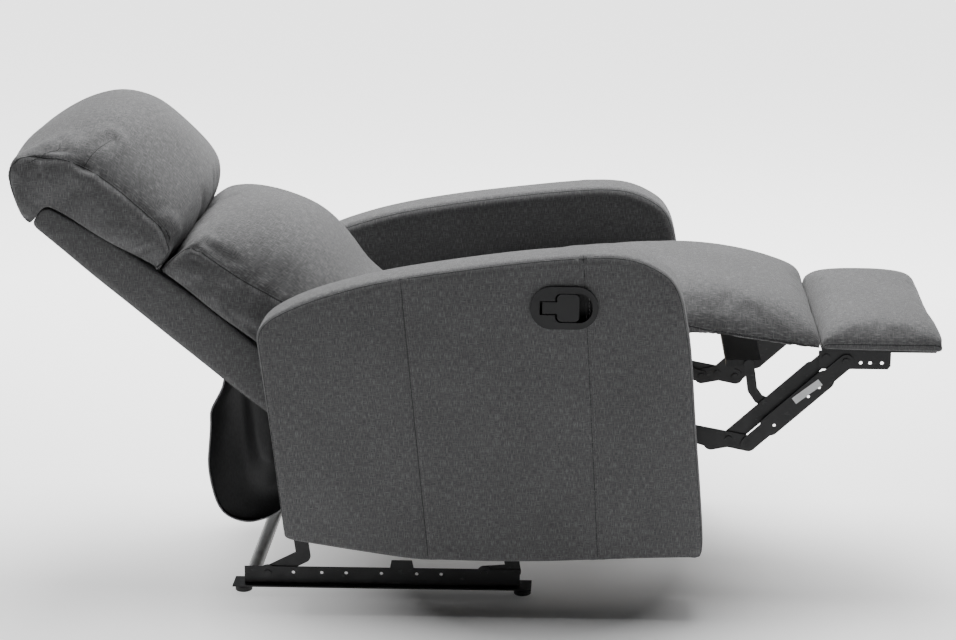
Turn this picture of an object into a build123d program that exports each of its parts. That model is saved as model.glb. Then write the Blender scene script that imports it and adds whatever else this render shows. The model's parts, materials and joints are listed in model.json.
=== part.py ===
"""Recliner armchair, stored fully reclined with its footrest out.

Frame: millimetres, +Z up, the chair faces -Y, X across, the floor at Z = 0.
Side shapes are written as (forward, up) pairs, where forward is -Y, and are
moved by FORWARD_SHIFT as they are saved, to put the origin under the middle.
The sitter's right side, with the release handle, is at -X.
"""
from build123d import *
import os
from math import atan2, cos, degrees, hypot, radians, sin

# ---- overall sizes
FORWARD_SHIFT = 12.0
CHAIR_WIDTH = 670.0
ARM_THICKNESS = 88.0
ARM_INNER_X = CHAIR_WIDTH / 2 - ARM_THICKNESS
BACK_HALF_WIDTH = 235.0
SEAT_HALF_WIDTH = 241.0
SIDE_RAIL_X = 226.0
PAD_HALF_WIDTH = 240.0

# ---- steel plate layers, as distances from the middle of the chair
PLATE = 2.5
X_RAIL_WEB = 226.5
X_LIFT_LINK = 223.4
X_SIDE_PLATE = 223.0
X_BRACKET = 220.4
X_FRONT_LINK = 217.4
X_UPPER_LINK = 214.4
X_REAR_LINK = 211.4
RUNNING = 0.05

# ---- pivots, (forward, up)
PIN_R = 4.0
HEAD_R = 6.5
HEAD_T = 2.0
FLAT_HEAD_T = 0.4
LIFT_REAR_BASE = (-366.0, 37.0)
LIFT_REAR_SEAT = (-311.5, 131.4)
LIFT_FRONT_BASE = (14.4, 42.0)
LIFT_FRONT_SEAT = (47.0, 148.2)
BACK_HINGE = (-285.0, 400.0)
FRONT_LINK_SEAT = (230.0, 351.2)
REAR_LINK_SEAT = (204.0, 347.9)
KNEE_UPPER = (436.0, 290.0)
KNEE_LOWER = (470.0, 283.0)
KNEE_REAR = (406.0, 284.0)
FOOT_UPPER = (599.0, 438.0)
FOOT_LOWER = (633.0, 431.0)
LEG_HINGE = (360.0, 505.0)
LINK_HOLE_DROP = 4.0
OPEN_LIFT_SLACK = 2.8
OPEN_KNEE_SLACK = 1.45

# ---- back, in its own (along, out) directions from the back hinge
BACK_RISE = 39.77
BACK_BOTTOM_REAR = -102.0
SWEEP_RADIUS = 172.0

# ---- base
GLIDE_HEIGHT = 17.0
GLIDE_R = 15.0
GLIDE_STEM_R = 10.0
GLIDE_DISC = 9.0
RAIL_REAR = -407.0
RAIL_FRONT = 77.0
RAIL_TOP = 50.0
FOOT_F = (-411.0, 81.0)
FLANGE_PAST_WEB = 20.0
FLANGE_INNER_X = 196.0
FLANGE_OUTER_X = 245.0
CROSS_TUBE_R = 12.5

# ---- handle
HANDLE_CENTRE = (152.0, 549.0)
HANDLE_LENGTH = 114.0
HANDLE_HEIGHT = 73.0
HANDLE_DEPTH = 30.0
FACE_X = -CHAIR_WIDTH / 2
BEZEL_PROUD = 4.0
HANDLE_HINGE_F = 119.0
HANDLE_HINGE_X = FACE_X + 3
HANDLE_PIN_R = 1.5
BARREL_R = 3.6
LUG_TOP = 18.0
BARREL_HALF = 11.6


def side_plane(x):
    """Plane at X = x whose own axes are (forward, up)."""
    return Plane(origin=(x, 0, 0), x_dir=(0, -1, 0), z_dir=(-1, 0, 0))


def slab(shape, x_low, x_high):
    """Extrude a (forward, up) shape between two distances across the chair."""
    return extrude(side_plane(x_high) * shape, amount=x_high - x_low)


def outline(points):
    """Closed face through (forward, up) points."""
    return make_face(Polyline(*points, close=True))


def disc(centre, radius):
    return Pos(*centre) * Circle(radius)


def strap(start, end, width):
    """Round-ended strip between two points."""
    length = hypot(end[0] - start[0], end[1] - start[1])
    turn = degrees(atan2(end[1] - start[1], end[0] - start[0]))
    middle = ((start[0] + end[0]) / 2, (start[1] + end[1]) / 2)
    return Pos(*middle) * Rot(0, 0, turn) * SlotCenterToCenter(length, width)


def band(points, width):
    """Round-ended strip through several points."""
    face = strap(points[0], points[1], width)
    for start, end in zip(points[1:-1], points[2:]):
        face += strap(start, end, width)
    return face


def plate(face, holes, x_low, thickness=PLATE):
    """Steel plate with round holes given as (centre, radius)."""
    for centre, radius in holes:
        face -= disc(centre, radius)
    return slab(face, x_low, x_low + thickness)


def rivet(centre, x_low, x_high, inner_head=HEAD_T, outer_head=HEAD_T):
    """Rivet along X; its shank runs between two layers' outside faces."""
    body = slab(disc(centre, PIN_R), x_low, x_high)
    if inner_head:
        body += slab(disc(centre, HEAD_R), x_low - inner_head, x_low)
    if outer_head:
        body += slab(disc(centre, HEAD_R), x_high, x_high + outer_head)
    return body


def mirrored(shape):
    return mirror(shape, about=Plane.YZ)


def pair(shape):
    """The shape and its mirror image as one group of solids."""
    return Compound(children=[*shape.solids(), *mirrored(shape).solids()])


def save(name, shape):
    solids = [Pos(0, -FORWARD_SHIFT, 0) * solid for solid in shape.solids()]
    moved = solids[0] if len(solids) == 1 else Compound(children=solids)
    export_step(moved, f"parts/{name}.step")


def save_sides(name, shape):
    """Save a shape drawn at +X as its left and right pieces."""
    save(f"{name}_left", shape)
    save(f"{name}_right", mirrored(shape))


def back_point(along, out):
    """(forward, up) of a place given along the back and out from it."""
    c, s = cos(radians(BACK_RISE)), sin(radians(BACK_RISE))
    return (BACK_HINGE[0] - along * c + out * s, BACK_HINGE[1] + along * s + out * c)


def around_hinge(radius, angle):
    """(forward, up) on a circle about the back hinge."""
    turn = radians(angle)
    return (BACK_HINGE[0] + radius * cos(turn), BACK_HINGE[1] + radius * sin(turn))


def stuffed(middle, side, half_width, shoulder=0.62, fullness=0.86):
    """Closed cushion lofted from a thin side outline to a full middle one."""
    mid = [
        tuple(s + fullness * (m - s) for s, m in zip(q, p)) for p, q in zip(middle, side)
    ]
    stations = [
        (-half_width, side),
        (-shoulder * half_width, mid),
        (0.0, middle),
        (shoulder * half_width, mid),
        (half_width, side),
    ]
    return loft([side_plane(x) * outline(points) for x, points in stations], ruled=True)


# ------------------------------------------------------------------ base
def base_rail():
    web = outline(
        [
            (RAIL_REAR, GLIDE_HEIGHT), (RAIL_FRONT, GLIDE_HEIGHT),
            (RAIL_FRONT, RAIL_TOP), (RAIL_REAR, RAIL_TOP),
        ]
    )
    web += disc(LIFT_REAR_BASE, 16) + disc(LIFT_FRONT_BASE, 13)
    web += outline([(-151, RAIL_TOP - 1), (-109, RAIL_TOP - 1), (-112, 64), (-148, 64)])
    holes = [(LIFT_REAR_BASE, PIN_R), (LIFT_FRONT_BASE, PIN_R)]
    holes += [((f, 39.5), 3.0) for f in (-321, -271, -228, -166, -104, -61)]
    body = plate(web, holes, X_RAIL_WEB)
    flange_length = RAIL_FRONT - RAIL_REAR + 2 * FLANGE_PAST_WEB
    flange_width = FLANGE_OUTER_X - FLANGE_INNER_X
    flange = Pos(FLANGE_INNER_X + flange_width / 2, -(RAIL_FRONT + RAIL_REAR) / 2, GLIDE_HEIGHT + PLATE / 2)
    return body + flange * Box(flange_width, flange_length, PLATE)


def cross_tube(forward):
    """Round tube across the chair, welded onto both rail flanges."""
    up = GLIDE_HEIGHT + PLATE + CROSS_TUBE_R
    ring = disc((forward, up), CROSS_TUBE_R) - disc((forward, up), CROSS_TUBE_R - 1.5)
    return slab(ring, -X_SIDE_PLATE, X_SIDE_PLATE)


def glides():
    feet = []
    for forward in FOOT_F:
        for x in (-212.0, 212.0):
            pad = Pos(x, -forward, GLIDE_DISC / 2) * Cylinder(GLIDE_R, GLIDE_DISC)
            stem = Pos(x, -forward, GLIDE_HEIGHT / 2) * Cylinder(GLIDE_STEM_R, GLIDE_HEIGHT)
            feet.append(chamfer(pad.edges().group_by(Axis.Z)[0], 1.5) + stem)
    return Compound(children=feet)


def base_rivets():
    rear = rivet(LIFT_REAR_BASE, X_LIFT_LINK, X_RAIL_WEB + PLATE)
    front = rivet(LIFT_FRONT_BASE, X_LIFT_LINK, X_RAIL_WEB + PLATE)
    return pair(Compound(children=[rear, front]))


# ------------------------------------------------------------------ lift links
def rear_lift_link():
    face = band([LIFT_REAR_BASE, (-303, 69), LIFT_REAR_SEAT], 25)
    holes = [(LIFT_REAR_BASE, PIN_R + RUNNING), (LIFT_REAR_SEAT, PIN_R + RUNNING)]
    return plate(face, holes, X_LIFT_LINK)


def front_lift_link():
    face = band([LIFT_FRONT_BASE, (66, 46), LIFT_FRONT_SEAT], 26)
    face += disc(LIFT_FRONT_SEAT, 17)
    holes = [(LIFT_FRONT_BASE, PIN_R + RUNNING), (LIFT_FRONT_SEAT, PIN_R + OPEN_LIFT_SLACK)]
    return plate(face, holes, X_LIFT_LINK)


# ------------------------------------------------------------------ seat frame
def side_rail():
    shape = outline([(-262, 272), (340, 335), (340, 428), (-262, 332)])
    return slab(shape, SIDE_RAIL_X, ARM_INNER_X - 0.5)


def front_rail():
    return Pos(0, -322, 385) * Box(2 * SIDE_RAIL_X, 20, 90)


def rear_rail():
    return Pos(0, 230, 290) * Box(2 * X_SIDE_PLATE - 1, 20, 70)


def seat_springs():
    """Zigzag springs running front to back under the cushion."""
    start, end, bends = -218.0, 309.0, 14
    step = (end - start) / bends
    points = [
        (18 if k % 2 else -18, -(start + k * step), 312 + 92 * k / bends)
        for k in range(bends + 1)
    ]
    path = FilletPolyline(*points, radius=9)
    section = Plane(origin=path @ 0, z_dir=path % 0) * Circle(1.9)
    spring = sweep(section, path=path)
    return Compound(children=[Pos(x, 0, 0) * spring for x in (-160, -80, 0, 80, 160)])


def mechanism_plate():
    face = band([BACK_HINGE, (-282, 318), (REAR_LINK_SEAT[0], 348), FRONT_LINK_SEAT], 28)
    holes = [(BACK_HINGE, PIN_R), (REAR_LINK_SEAT, PIN_R), (FRONT_LINK_SEAT, PIN_R)]
    return plate(face, holes, X_SIDE_PLATE)


def rear_lift_bracket():
    face = band([(-270, 318), (-300, 215), LIFT_REAR_SEAT], 27)
    return plate(face, [(LIFT_REAR_SEAT, PIN_R)], X_BRACKET)


def front_lift_bracket():
    face = band([(70, 338), (60, 240), LIFT_FRONT_SEAT], 36)
    return plate(face, [(LIFT_FRONT_SEAT, PIN_R)], X_BRACKET)


def seat_rivets():
    rivets = [
        rivet(LIFT_REAR_SEAT, X_BRACKET, X_LIFT_LINK + PLATE),
        rivet(LIFT_FRONT_SEAT, X_BRACKET, X_LIFT_LINK + PLATE),
        rivet(BACK_HINGE, X_FRONT_LINK, X_SIDE_PLATE + PLATE),
        rivet(FRONT_LINK_SEAT, X_FRONT_LINK, X_SIDE_PLATE + PLATE, outer_head=0),
        rivet(REAR_LINK_SEAT, X_REAR_LINK, X_SIDE_PLATE + PLATE, outer_head=0),
    ]
    return pair(Compound(children=rivets))


def seat_cushion():
    rear_radius = SWEEP_RADIUS + 2.5
    rear = [around_hinge(rear_radius, a) for a in (8, 14, 20)]
    top_side = [(-127, 470), (0, 496), (200, 516), (290, 520), (322, 508)]
    top_middle = [(-127, 475), (0, 512), (200, 540), (290, 545), (322, 520)]
    front = [(325, 490), (325, 450)]
    bottom = [(318, 436), (-70, 405)]
    side = rear + top_side + front + bottom
    middle = rear + top_middle + front + bottom
    return stuffed(middle, side, SEAT_HALF_WIDTH)


# ------------------------------------------------------------------ arms
def arm_outline(crown=0.0):
    """Side view of an arm; crown lifts the long bowed top above the seams."""
    top = [
        (-364, 499), (-345, 522), (-308, 541), (-235, 568), (-123, 597), (-20, 612), (100, 627),
        (211, 637), (260, 634), (294, 622), (322, 604), (342, 579), (353, 533),
    ]
    bottom = [(392, 115), (217, 106), (87, 100), (-74, 101), (-192, 115), (-286, 133), (-324, 156)]
    lifted = [(f - crown * 0.4 * (f < -340) + crown * 0.4 * (f > 340), z + crown) for f, z in top[1:-1]]
    return outline([top[0], *lifted, top[-1], *bottom])


def handle_opening(grow=0.0):
    return Pos(*HANDLE_CENTRE) * SlotOverall(HANDLE_LENGTH + 2 * grow, HANDLE_HEIGHT + 2 * grow)


def arm():
    half = ARM_THICKNESS / 2
    stations = [(0.0, 0.0), (0.3, 3.0), (1.0, 4.5), (1.7, 3.0), (2.0, 0.0)]
    faces = [side_plane(ARM_INNER_X + share * half) * arm_outline(crown) for share, crown in stations]
    return loft(faces, ruled=True)


def arm_right_with_pocket():
    pocket = slab(handle_opening(-5), -CHAIR_WIDTH / 2 - 5, -CHAIR_WIDTH / 2 + HANDLE_DEPTH + 1)
    return mirrored(arm()) - pocket


# ------------------------------------------------------------------ handle
def t_opening():
    """T-shaped hole in the face plate: the stem's slot and the finger hollow."""
    up = HANDLE_CENTRE[1]
    stem = Pos(127.25, up) * Rectangle(32.5, 24)
    hollow = Pos(157, up) * RectangleRounded(40, 50, 9)
    return stem + hollow + Pos(174, up) * RectangleRounded(50, 50, 22)


def handle_bezel():
    """Plastic cup with a flat face plate that lies on the arm's outer panel."""
    face = slab(handle_opening() - t_opening(), FACE_X - BEZEL_PROUD, FACE_X - 0.05)
    cup = slab(handle_opening(-5.5), FACE_X - 0.05, FACE_X + HANDLE_DEPTH)
    hollow = slab(handle_opening(-9), FACE_X - 0.05, FACE_X + HANDLE_DEPTH - 3)
    lug_place = Pos(HANDLE_HINGE_F, HANDLE_CENTRE[1])
    lugs = slab(lug_place * Rectangle(12, 2 * LUG_TOP), FACE_X - 0.05, FACE_X + HANDLE_DEPTH - 3)
    lugs -= slab(lug_place * Rectangle(20, 2 * BARREL_HALF + 1), FACE_X - 1, FACE_X + HANDLE_DEPTH - 3)
    return face + cup - hollow + lugs - upright_rod(HANDLE_PIN_R, LUG_TOP + 2)


def upright_rod(radius, half_length):
    """Cylinder on the handle's upright hinge line."""
    return Pos(HANDLE_HINGE_X, -HANDLE_HINGE_F, HANDLE_CENTRE[1]) * Cylinder(radius, 2 * half_length)


def handle_pin():
    return upright_rod(HANDLE_PIN_R, LUG_TOP)


def handle_paddle():
    """T-shaped pull: a narrow stem at the hinge and a wide finger end."""
    up = HANDLE_CENTRE[1]
    barrel = upright_rod(BARREL_R, BARREL_HALF)
    stem = Pos(129.75, up) * Rectangle(28.5, 20)
    head = Pos(158.5, up) * RectangleRounded(37, 47, 8)
    plate_of_pull = slab(stem + head, FACE_X - 3, FACE_X + 4)
    return barrel + plate_of_pull - upright_rod(HANDLE_PIN_R + RUNNING, BARREL_HALF + 1)


# ------------------------------------------------------------------ back
def back_frame():
    shape = outline(
        [
            back_point(*p)
            for p in (
                (-20, BACK_BOTTOM_REAR), (527, BACK_BOTTOM_REAR), (531, -64), (313, -27),
                (108, -20), (8, -26), (-20, -60),
            )
        ]
    )
    body = slab(shape, -BACK_HALF_WIDTH, BACK_HALF_WIDTH)
    pocket = outline([back_point(*p) for p in ((-30, -92), (212, -92), (212, -34), (0, -14), (-30, -40))])
    slot = slab(pocket, X_FRONT_LINK - 0.5, X_FRONT_LINK + PLATE + 0.5)
    return body - slot - mirrored(slot)


def back_bracket():
    face = band([BACK_HINGE, back_point(6, -50), back_point(190, -63)], 26)
    return plate(face, [(BACK_HINGE, PIN_R + RUNNING)], X_FRONT_LINK)


def lumbar_cushion():
    arc = [around_hinge(SWEEP_RADIUS, a) for a in (60, 45, 30, 14)]
    middle_top = [(311, -20), (309, 60), (304, 96), (277, 136), (234, 159), (174, 175), (111, 184), (54, 182)]
    side_top = [(311, -20), (308, 20), (300, 44), (278, 46), (242, 51), (174, 61), (111, 72), (54, 84)]
    tail = [back_point(45, -12), back_point(108, -16)]
    side_arc = [back_point(*p) for p in ((20, 92), (-20, 100), (-55, 104), (-80, 112))]
    middle = [back_point(*p) for p in middle_top] + arc + tail
    side = [back_point(*p) for p in side_top] + side_arc + tail
    return stuffed(middle, side, BACK_HALF_WIDTH)


def head_cushion():
    foot = [(316, -24), (415, -41), (524, -59), (535, -63), (535, -100)]
    side_face = [
        (573, -88), (609, -66), (613, -50), (613, -12), (575, 11), (519, 37), (461, 42), (393, 40),
        (337, 32), (320, 10),
    ]
    middle_face = [
        (587, -97), (625, -79), (632, -30), (618, 20), (592, 76), (560, 124), (512, 146), (461, 151),
        (404, 145), (358, 132),
    ]
    edge_side = [(316, -2)]
    edge_middle = [(316, 96)]
    side = [back_point(*p) for p in foot + side_face + edge_side]
    middle = [back_point(*p) for p in foot + middle_face + edge_middle]
    return stuffed(middle, side, BACK_HALF_WIDTH)


def rear_flap():
    """Slack cloth between the foot of the back and the seat frame."""
    outer = [(-438, 386), (-446, 351), (-466, 300), (-470, 224), (-462, 186), (-440, 142), (-404, 128),
             (-360, 140), (-318, 190), (-262, 254), (-241, 262)]
    inner = [(-241, 266), (-265, 258), (-321, 194), (-362, 144), (-404, 132), (-437, 145), (-458, 187),
             (-466, 224), (-462, 300), (-442, 351), (-435, 383)]
    return slab(outline(outer + inner), -217.5, 217.5)


# ------------------------------------------------------------------ footrest linkage
def front_ottoman_link():
    tube = torque_tube_centre()
    face = band([FRONT_LINK_SEAT, (352, 306), KNEE_UPPER, KNEE_LOWER], 28)
    face += strap(FRONT_LINK_SEAT, tube, 26)
    holes = [(FRONT_LINK_SEAT, PIN_R + RUNNING), (KNEE_UPPER, PIN_R), (KNEE_LOWER, PIN_R)]
    return plate(face, holes, X_FRONT_LINK)


def torque_tube_centre():
    return (FRONT_LINK_SEAT[0] + 41.7, FRONT_LINK_SEAT[1] + 16.4)


def torque_tube():
    """Square tube that turns both front links together."""
    ring = Pos(*torque_tube_centre()) * (Rectangle(19, 19) - Rectangle(16, 16))
    return slab(ring, -X_FRONT_LINK, X_FRONT_LINK)


def front_link_rivets():
    rivets = [
        rivet(KNEE_UPPER, X_UPPER_LINK, X_FRONT_LINK + PLATE),
        rivet(KNEE_LOWER, X_FRONT_LINK, X_BRACKET + PLATE, outer_head=FLAT_HEAD_T),
    ]
    return pair(Compound(children=rivets))


def upper_ottoman_link():
    face = band([KNEE_REAR, KNEE_UPPER, share_point(KNEE_UPPER, FOOT_UPPER, 0.85)], 28)
    face += strap(KNEE_UPPER, FOOT_UPPER, 22)
    holes = [(KNEE_REAR, PIN_R), (KNEE_UPPER, PIN_R + RUNNING), (FOOT_UPPER, PIN_R)]
    return plate(face, holes, X_UPPER_LINK)


def upper_link_rivets():
    rivets = [
        rivet(FOOT_UPPER, X_UPPER_LINK, X_FRONT_LINK + PLATE),
        rivet(KNEE_REAR, X_REAR_LINK, X_UPPER_LINK + PLATE, outer_head=0),
    ]
    return pair(Compound(children=rivets))


def share_point(start, end, share):
    """Point part of the way from start to end."""
    return (start[0] + share * (end[0] - start[0]), start[1] + share * (end[1] - start[1]))


def lower_ottoman_link():
    face = strap(KNEE_LOWER, FOOT_LOWER, 26)
    face += strap(share_point(KNEE_LOWER, FOOT_LOWER, 0.22), share_point(KNEE_LOWER, FOOT_LOWER, 0.78), 34)
    holes = [(KNEE_LOWER, PIN_R + RUNNING), (FOOT_LOWER, PIN_R)]
    along = (FOOT_LOWER[0] - KNEE_LOWER[0], FOOT_LOWER[1] - KNEE_LOWER[1])
    length = hypot(*along)
    below = (LINK_HOLE_DROP * along[1] / length, -LINK_HOLE_DROP * along[0] / length)
    for share in (0.25, 0.60, 0.71):
        place = share_point(KNEE_LOWER, FOOT_LOWER, share)
        holes.append(((place[0] + below[0], place[1] + below[1]), 2.6))
    return plate(face, holes, X_BRACKET)


def lower_link_rivets():
    return pair(rivet(FOOT_LOWER, X_FRONT_LINK, X_BRACKET + PLATE))


def rear_ottoman_link():
    face = strap(REAR_LINK_SEAT, KNEE_REAR, 22)
    holes = [(REAR_LINK_SEAT, PIN_R + RUNNING), (KNEE_REAR, PIN_R + OPEN_KNEE_SLACK)]
    return plate(face, holes, X_REAR_LINK)


def flipper_arm():
    """Curved strip that carries the flipper board on the upper link."""
    face = band([(468, 422), (471, 407), (475, 378), (486, 362), (505, 352)], 17)
    return plate(face, [], X_REAR_LINK)


def flipper_board():
    return Pos(0, -459, 424) * Box(2 * (X_REAR_LINK - 0.1), 60, 12)


# ------------------------------------------------------------------ footrest
def footrest_bracket():
    face = outline([(586, 424), (586, 450), (709, 450), (709, 424), (704, 418), (592, 418)])
    holes = [(FOOT_UPPER, PIN_R + RUNNING), (FOOT_LOWER, PIN_R + 0.1)]
    holes += [((f, 429), 3.0) for f in (658, 674, 694)]
    flange = Pos(X_FRONT_LINK - 7.5, -663, 450 - PLATE / 2) * Box(20, 92, PLATE)
    return plate(face, holes, X_FRONT_LINK) + flange


def footrest_board():
    return Pos(0, -688, 455) * Box(2 * 228, 194, 10)


def footrest_pad():
    side = [(591, 461), (590, 470), (612, 486), (700, 489), (771, 484), (790, 473), (792, 461)]
    middle = [(591, 461), (590, 476), (612, 496), (700, 500), (771, 495), (791, 478), (792, 461)]
    return stuffed(middle, side, PAD_HALF_WIDTH)


def leg_pad():
    """Padded flap that bridges from the seat to the footrest."""
    side = [(340, 482), (332, 500), (342, 524), (369, 529), (437, 517), (520, 496), (578, 478), (583, 463),
            (552, 467), (484, 478), (369, 488)]
    middle = [(340, 482), (332, 500), (342, 528), (376, 537), (437, 534), (520, 516), (577, 490), (583, 463),
              (552, 467), (484, 478), (369, 488)]
    return stuffed(middle, side, PAD_HALF_WIDTH)


def main():
    os.makedirs("parts", exist_ok=True)
    save_sides("base_rail", base_rail())
    save("rear_cross_tube", cross_tube(-394))
    save("front_cross_tube", cross_tube(62))
    save("floor_glides", glides())
    save("base_rivets", base_rivets())
    save_sides("rear_lift_link", rear_lift_link())
    save_sides("front_lift_link", front_lift_link())
    save_sides("side_rail", side_rail())
    save("front_rail", front_rail())
    save("rear_rail", rear_rail())
    save("seat_springs", seat_springs())
    save_sides("mechanism_plate", mechanism_plate())
    save_sides("rear_lift_bracket", rear_lift_bracket())
    save_sides("front_lift_bracket", front_lift_bracket())
    save("seat_rivets", seat_rivets())
    save("seat_cushion", seat_cushion())
    save("arm_left", arm())
    save("arm_right", arm_right_with_pocket())
    save("handle_bezel", handle_bezel())
    save("handle_pin", handle_pin())
    save("handle_paddle", handle_paddle())
    save("back_frame", back_frame())
    save_sides("back_bracket", back_bracket())
    save("lumbar_cushion", lumbar_cushion())
    save("head_cushion", head_cushion())
    save("rear_flap", rear_flap())
    save_sides("front_ottoman_link", front_ottoman_link())
    save("torque_tube", torque_tube())
    save("front_link_rivets", front_link_rivets())
    save_sides("upper_ottoman_link", upper_ottoman_link())
    save("upper_link_rivets", upper_link_rivets())
    save_sides("lower_ottoman_link", lower_ottoman_link())
    save("lower_link_rivets", lower_link_rivets())
    save_sides("rear_ottoman_link", rear_ottoman_link())
    save_sides("flipper_arm", flipper_arm())
    save("flipper_board", flipper_board())
    save_sides("footrest_bracket", footrest_bracket())
    save("footrest_board", footrest_board())
    save("footrest_pad", footrest_pad())
    save("leg_pad", leg_pad())


main()
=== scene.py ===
"""The recliner armchair's looks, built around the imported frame.

Outlines are (forward, up) in millimetres. Meshes and frame points are in metres, with X to the side,
the chair facing -Y and +Z up.
"""
import json
import math

import bpy
import bmesh
import numpy as np
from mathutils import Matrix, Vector, noise
from mathutils.bvhtree import BVHTree
from mathutils.kdtree import KDTree

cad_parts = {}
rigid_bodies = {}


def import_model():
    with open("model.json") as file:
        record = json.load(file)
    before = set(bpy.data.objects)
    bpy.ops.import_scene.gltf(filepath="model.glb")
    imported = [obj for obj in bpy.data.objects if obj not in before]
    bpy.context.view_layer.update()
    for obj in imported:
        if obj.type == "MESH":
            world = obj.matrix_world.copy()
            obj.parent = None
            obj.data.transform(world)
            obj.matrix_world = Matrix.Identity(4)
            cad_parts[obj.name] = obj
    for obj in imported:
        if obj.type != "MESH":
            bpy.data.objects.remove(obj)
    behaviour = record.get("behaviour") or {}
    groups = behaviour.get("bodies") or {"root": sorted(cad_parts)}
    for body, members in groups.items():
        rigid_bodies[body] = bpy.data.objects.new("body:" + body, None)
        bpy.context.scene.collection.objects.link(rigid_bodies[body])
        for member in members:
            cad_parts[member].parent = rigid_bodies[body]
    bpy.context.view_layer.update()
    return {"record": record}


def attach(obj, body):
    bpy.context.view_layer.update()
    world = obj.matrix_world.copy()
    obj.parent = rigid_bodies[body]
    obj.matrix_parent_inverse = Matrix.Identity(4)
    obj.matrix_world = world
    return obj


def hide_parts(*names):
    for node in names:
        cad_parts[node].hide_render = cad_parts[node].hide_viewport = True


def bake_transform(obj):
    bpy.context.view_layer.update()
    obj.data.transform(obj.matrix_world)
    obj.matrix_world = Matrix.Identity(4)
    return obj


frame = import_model()
FORWARD_SHIFT = 0.012
SIDES = ((1, "left"), (-1, "right"))

# ---------------------------------------------------------------- stage
CAMERA_AT = (-4.610, -0.207, 1.599)
CAMERA_PITCH = math.radians(14.07)
CAMERA_YAW = math.radians(2.50)
CAMERA_LENS = 99.6


def make_camera():
    data = bpy.data.cameras.new("camera")
    data.lens = CAMERA_LENS
    data.sensor_width = 36.0
    data.clip_end = 60.0
    camera = bpy.data.objects.new("camera", data)
    bpy.context.scene.collection.objects.link(camera)
    level = math.cos(CAMERA_PITCH)
    look = Vector((level * math.cos(CAMERA_YAW), level * math.sin(CAMERA_YAW), -math.sin(CAMERA_PITCH)))
    camera.location = CAMERA_AT
    camera.rotation_euler = look.to_track_quat("-Z", "Y").to_euler()
    bpy.context.scene.camera = camera


def area_light(name, at, aim, size, power):
    data = bpy.data.lights.new(name, "AREA")
    data.energy = power
    data.shape = "RECTANGLE"
    data.size, data.size_y = size
    light = bpy.data.objects.new(name, data)
    light.location = at
    direction = Vector(aim) - Vector(at)
    light.rotation_euler = direction.to_track_quat("-Z", "Y").to_euler()
    bpy.context.scene.collection.objects.link(light)


class Nodes:
    """Short names for building a material's node tree."""

    def __init__(self, tree):
        self.tree = tree

    def add(self, kind, **values):
        node = self.tree.nodes.new(kind)
        for key, value in values.items():
            setattr(node, key, value)
        return node

    def join(self, source, target):
        self.tree.links.new(source, target)

    def math(self, operation, a, b=None):
        node = self.add("ShaderNodeMath", operation=operation)
        for socket, value in zip(node.inputs, (a, b)):
            if isinstance(value, (int, float)):
                socket.default_value = value
            elif value is not None:
                self.join(value, socket)
        return node.outputs[0]

    def noise(self, vector, scale, detail=2.0, rough=0.5):
        node = self.add("ShaderNodeTexNoise")
        node.inputs["Scale"].default_value = scale
        node.inputs["Detail"].default_value = detail
        node.inputs["Roughness"].default_value = rough
        self.join(vector, node.inputs["Vector"])
        return node.outputs["Fac"]

    def stretched(self, vector, amounts):
        node = self.add("ShaderNodeMapping")
        node.inputs["Scale"].default_value = amounts
        self.join(vector, node.inputs["Vector"])
        return node.outputs[0]

    def ramp(self, value, low, high, out_low, out_high):
        node = self.add("ShaderNodeMapRange")
        self.join(value, node.inputs[0])
        for socket, number in zip(list(node.inputs)[1:5], (low, high, out_low, out_high)):
            socket.default_value = number
        return node.outputs[0]

    def colour(self, value, stops):
        node = self.add("ShaderNodeValToRGB")
        ramp = node.color_ramp
        while len(ramp.elements) < len(stops):
            ramp.elements.new(0.5)
        for element, (place, tone) in zip(ramp.elements, stops):
            element.position = place
            element.color = (*tone, 1)
        self.join(value, node.inputs[0])
        return node.outputs[0]

    def bump(self, height, strength, distance):
        node = self.add("ShaderNodeBump")
        node.inputs["Strength"].default_value = strength
        node.inputs["Distance"].default_value = distance
        self.join(height, node.inputs["Height"])
        return node.outputs[0]


def new_material(name):
    material = bpy.data.materials.new(name)
    material.use_nodes = True
    return material, Nodes(material.node_tree), material.node_tree.nodes["Principled BSDF"]


# The paper glows more with distance, and round the chair in an oval, in place of lamps behind it.
FLOOR_TONE = 0.88
GLOW_NEAR, GLOW_FAR, GLOW_AMOUNT = -0.3, 2.2, 1.70
RING_NEAR, RING_FAR, RING_AMOUNT = 0.25, 0.62, 0.87
RING_SQUEEZE, RING_SHIFT = 0.60, 0.12
NEAR_EDGE, NEAR_FADE = -0.46, 0.6
FLOOR_REACH = 16.0
SKY_DARK_SIDE, SKY_LIGHT_SIDE = (-0.2, 0.01), (0.8, 0.52)
SKY_TINT = (0.96, 0.98, 1.0, 1)
KEY_AT, KEY_AIM = (1.05, -0.1, 3.4), (0.2, 0.0, 0.4)
KEY_SIZE, KEY_POWER = (2.4, 3.2), 275.0


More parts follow.
